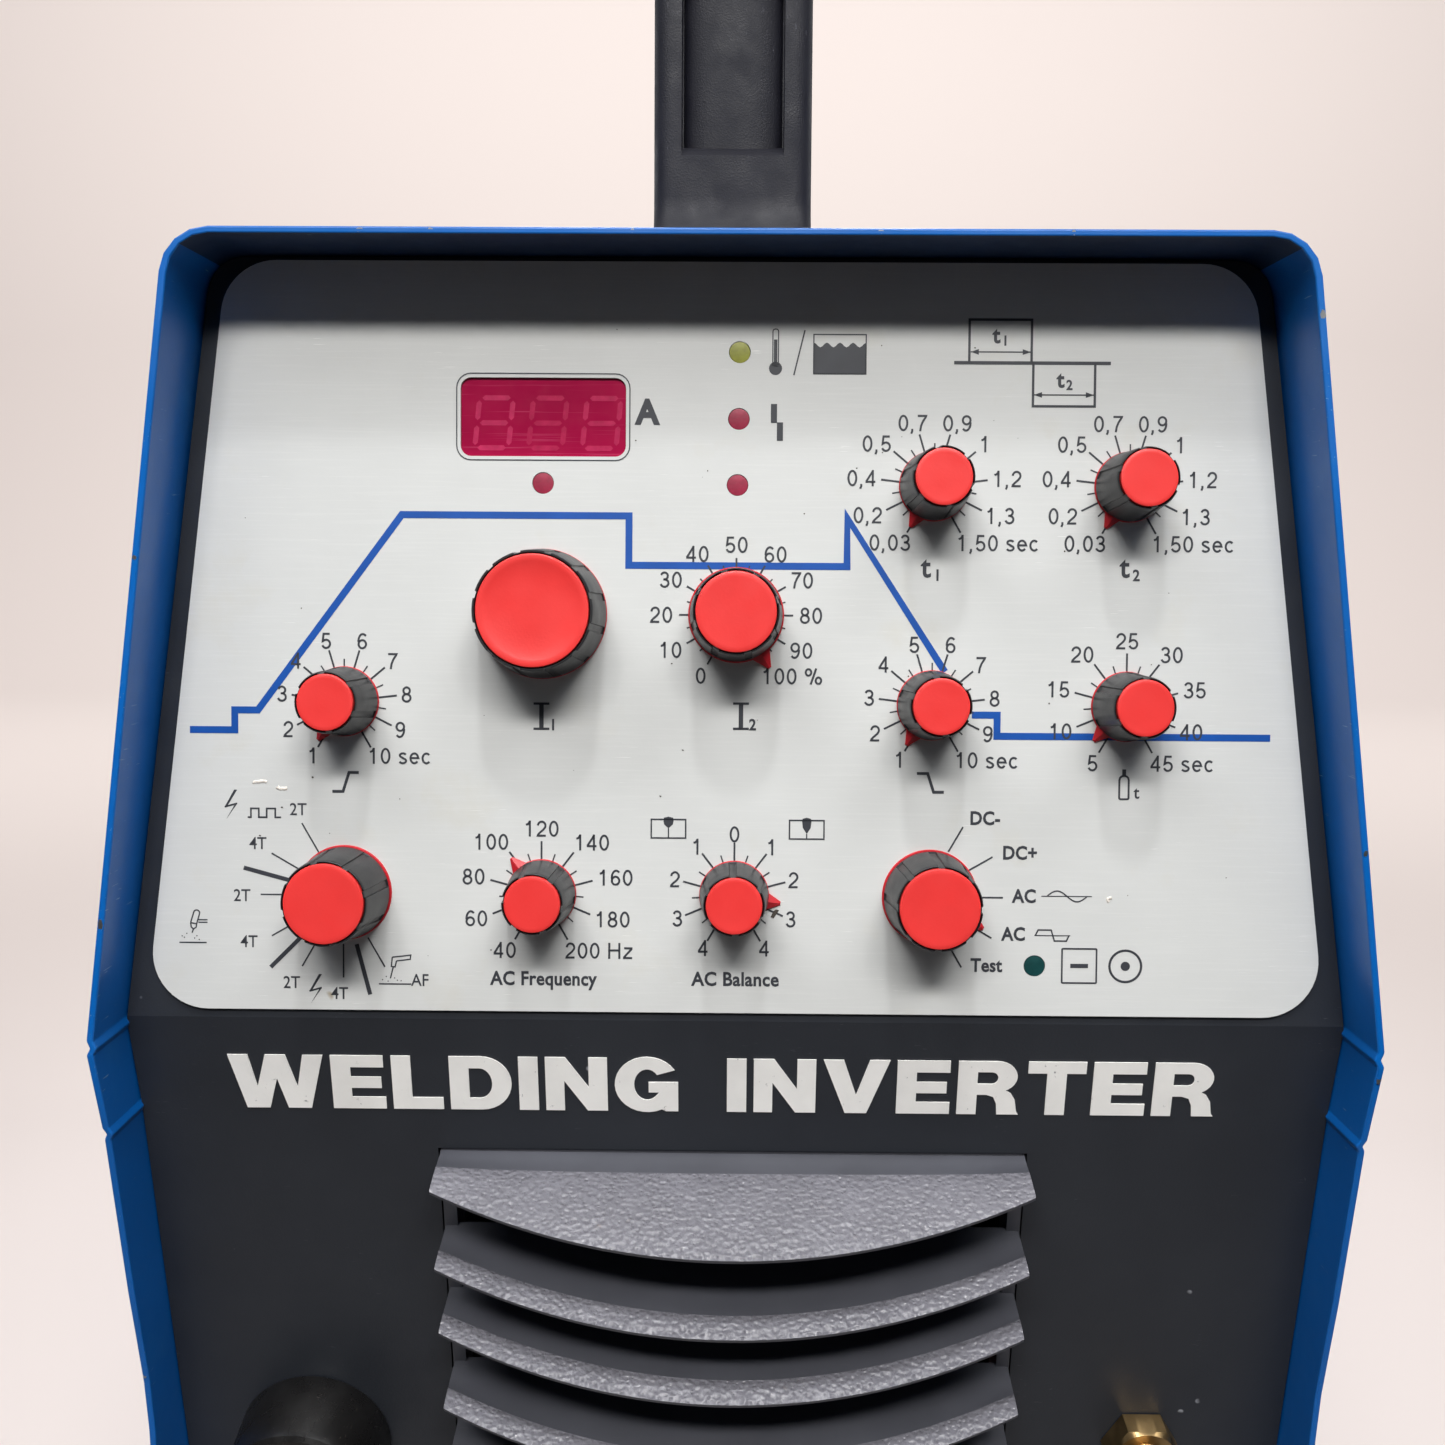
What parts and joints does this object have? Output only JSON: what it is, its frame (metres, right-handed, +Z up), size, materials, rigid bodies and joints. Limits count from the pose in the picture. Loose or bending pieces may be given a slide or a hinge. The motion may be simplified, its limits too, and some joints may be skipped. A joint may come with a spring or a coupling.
{
  "type": "tig welding machine",
  "caption": "Portable TIG welding power source in a folded blue case with a sloped knob panel, digital display, louvred grille, output sockets, top handle and rear fan.",
  "frame": {"origin": "centre of the bounding box footprint, on the plane the rubber feet stand on", "axes": "+X to the right of a person facing the control panel, +Y towards the rear panel, +Z up"},
  "size_m": [0.2672, 0.5426, 0.4605],
  "materials": {
    "blue_paint": "semi-gloss",
    "dark_panel": "fine texture",
    "dark_sheet": "satin",
    "grille_plastic": "grained",
    "foil": "matt print foil",
    "knob_grey": "matt",
    "cap_red": "satin",
    "window_red": "clear tinted",
    "lens_yellow": "clear tinted",
    "lens_green": "clear tinted",
    "handle_plastic": "fine grain",
    "black_plastic": "moulded",
    "brass": "machined",
    "rubber": "matt",
    "plated_steel": "zinc plated",
    "aluminium": "extruded",
    "core_steel": "laminated",
    "copper_wire": "enamelled wire",
    "board_green": "solder mask"
  },
  "bodies": {
    "case": {"base_tray": "blue_paint", "cable_gland": "black_plastic", "control_board": "board_green", "control_foil": "foil", "control_socket": "plated_steel", "display_module": "black_plastic", "display_window": "window_red", "fan_frame": "black_plastic", "fan_guard": "plated_steel", "foot_front_left": "rubber", "foot_front_right": "rubber", "foot_rear_left": "rubber", "foot_rear_right": "rubber", "front_panel": "dark_panel", "gas_inlet": "brass", "gas_outlet": "brass", "gas_valve": "plated_steel", "handle": "handle_plastic", "heat_sink": "aluminium", "housing_cover": "blue_paint", "ignition_unit": "black_plastic", "led_fault": "window_red", "led_main_current": "window_red", "led_overtemperature": "lens_yellow", "led_pulse": "window_red", "led_test": "lens_green", "louvre_grille": "grille_plastic", "main_switch_body": "black_plastic", "main_transformer": "core_steel", "output_choke": "copper_wire", "power_board": "board_green", "rear_panel": "dark_sheet", "torch_socket_collar": "black_plastic", "torch_socket_contact": "brass", "work_socket_collar": "black_plastic", "work_socket_contact": "brass"},
    "pulse_time_1": {"knob_pulse_time_1": "knob_grey", "cap_pulse_time_1": "cap_red"},
    "pulse_time_2": {"knob_pulse_time_2": "knob_grey", "cap_pulse_time_2": "cap_red"},
    "main_current": {"knob_main_current": "knob_grey", "cap_main_current": "cap_red"},
    "second_current": {"knob_second_current": "knob_grey", "cap_second_current": "cap_red"},
    "slope_up": {"knob_slope_up": "knob_grey", "cap_slope_up": "cap_red"},
    "slope_down": {"knob_slope_down": "knob_grey", "cap_slope_down": "cap_red"},
    "gas_post_flow": {"knob_gas_post_flow": "knob_grey", "cap_gas_post_flow": "cap_red"},
    "mode_selector": {"knob_mode_selector": "knob_grey", "cap_mode_selector": "cap_red"},
    "ac_frequency": {"knob_ac_frequency": "knob_grey", "cap_ac_frequency": "cap_red"},
    "ac_balance": {"knob_ac_balance": "knob_grey", "cap_ac_balance": "cap_red"},
    "polarity_selector": {"knob_polarity_selector": "knob_grey", "cap_polarity_selector": "cap_red"},
    "fan": {"fan_rotor": "black_plastic"},
    "main_switch": {"main_switch_knob": "cap_red"}
  },
  "joints": [
    {"name": "pulse_time_1_turn", "type": "hinge", "parent": "case", "child": "pulse_time_1", "pos_m": [0.042, -0.24203, 0.3169], "axis": [0, 0.9956, -0.0941], "range_deg": [0, 300]},
    {"name": "pulse_time_2_turn", "type": "hinge", "parent": "case", "child": "pulse_time_2", "pos_m": [0.0835, -0.24203, 0.3169], "axis": [0, 0.9956, -0.0941], "range_deg": [0, 300]},
    {"name": "main_current_turn", "type": "hinge", "parent": "case", "child": "main_current", "pos_m": [-0.0415, -0.24463, 0.28932], "axis": [0, 0.9956, -0.0941], "range_deg": [-150, 150]},
    {"name": "second_current_turn", "type": "hinge", "parent": "case", "child": "second_current", "pos_m": [0, -0.24463, 0.28932], "axis": [0, 0.9956, -0.0941], "range_deg": [-297, 3]},
    {"name": "slope_up_turn", "type": "hinge", "parent": "case", "child": "slope_up", "pos_m": [-0.084, -0.24642, 0.2704], "axis": [0, 0.9956, -0.0941], "range_deg": [-4, 296]},
    {"name": "slope_down_turn", "type": "hinge", "parent": "case", "child": "slope_down", "pos_m": [0.042, -0.24642, 0.2704], "axis": [0, 0.9956, -0.0941], "range_deg": [-2, 298]},
    {"name": "gas_post_flow_turn", "type": "hinge", "parent": "case", "child": "gas_post_flow", "pos_m": [0.0835, -0.24642, 0.2704], "axis": [0, 0.9956, -0.0941], "range_deg": [-13, 287]},
    {"name": "mode_selector_turn", "type": "hinge", "parent": "case", "child": "mode_selector", "pos_m": [-0.084, -0.2503, 0.22939], "axis": [0, 0.9956, -0.0941], "range_deg": [-90, 90]},
    {"name": "ac_frequency_turn", "type": "hinge", "parent": "case", "child": "ac_frequency", "pos_m": [-0.0415, -0.2503, 0.22939], "axis": [0, 0.9956, -0.0941], "range_deg": [-110, 190]},
    {"name": "ac_balance_turn", "type": "hinge", "parent": "case", "child": "ac_balance", "pos_m": [0, -0.2503, 0.22939], "axis": [0, 0.9956, -0.0941], "range_deg": [-249, 51]},
    {"name": "polarity_selector_turn", "type": "hinge", "parent": "case", "child": "polarity_selector", "pos_m": [0.042, -0.2503, 0.22939], "axis": [0, 0.9956, -0.0941], "range_deg": [-90, 30]},
    {"name": "fan_spin", "type": "hinge", "parent": "case", "child": "fan", "pos_m": [0, 0.2273, 0.175], "axis": [0, 1, 0], "continuous": true},
    {"name": "main_switch_turn", "type": "hinge", "parent": "case", "child": "main_switch", "pos_m": [-0.072, 0.2523, 0.29], "axis": [0, -1, 0], "range_deg": [0, 90]}
  ]
}
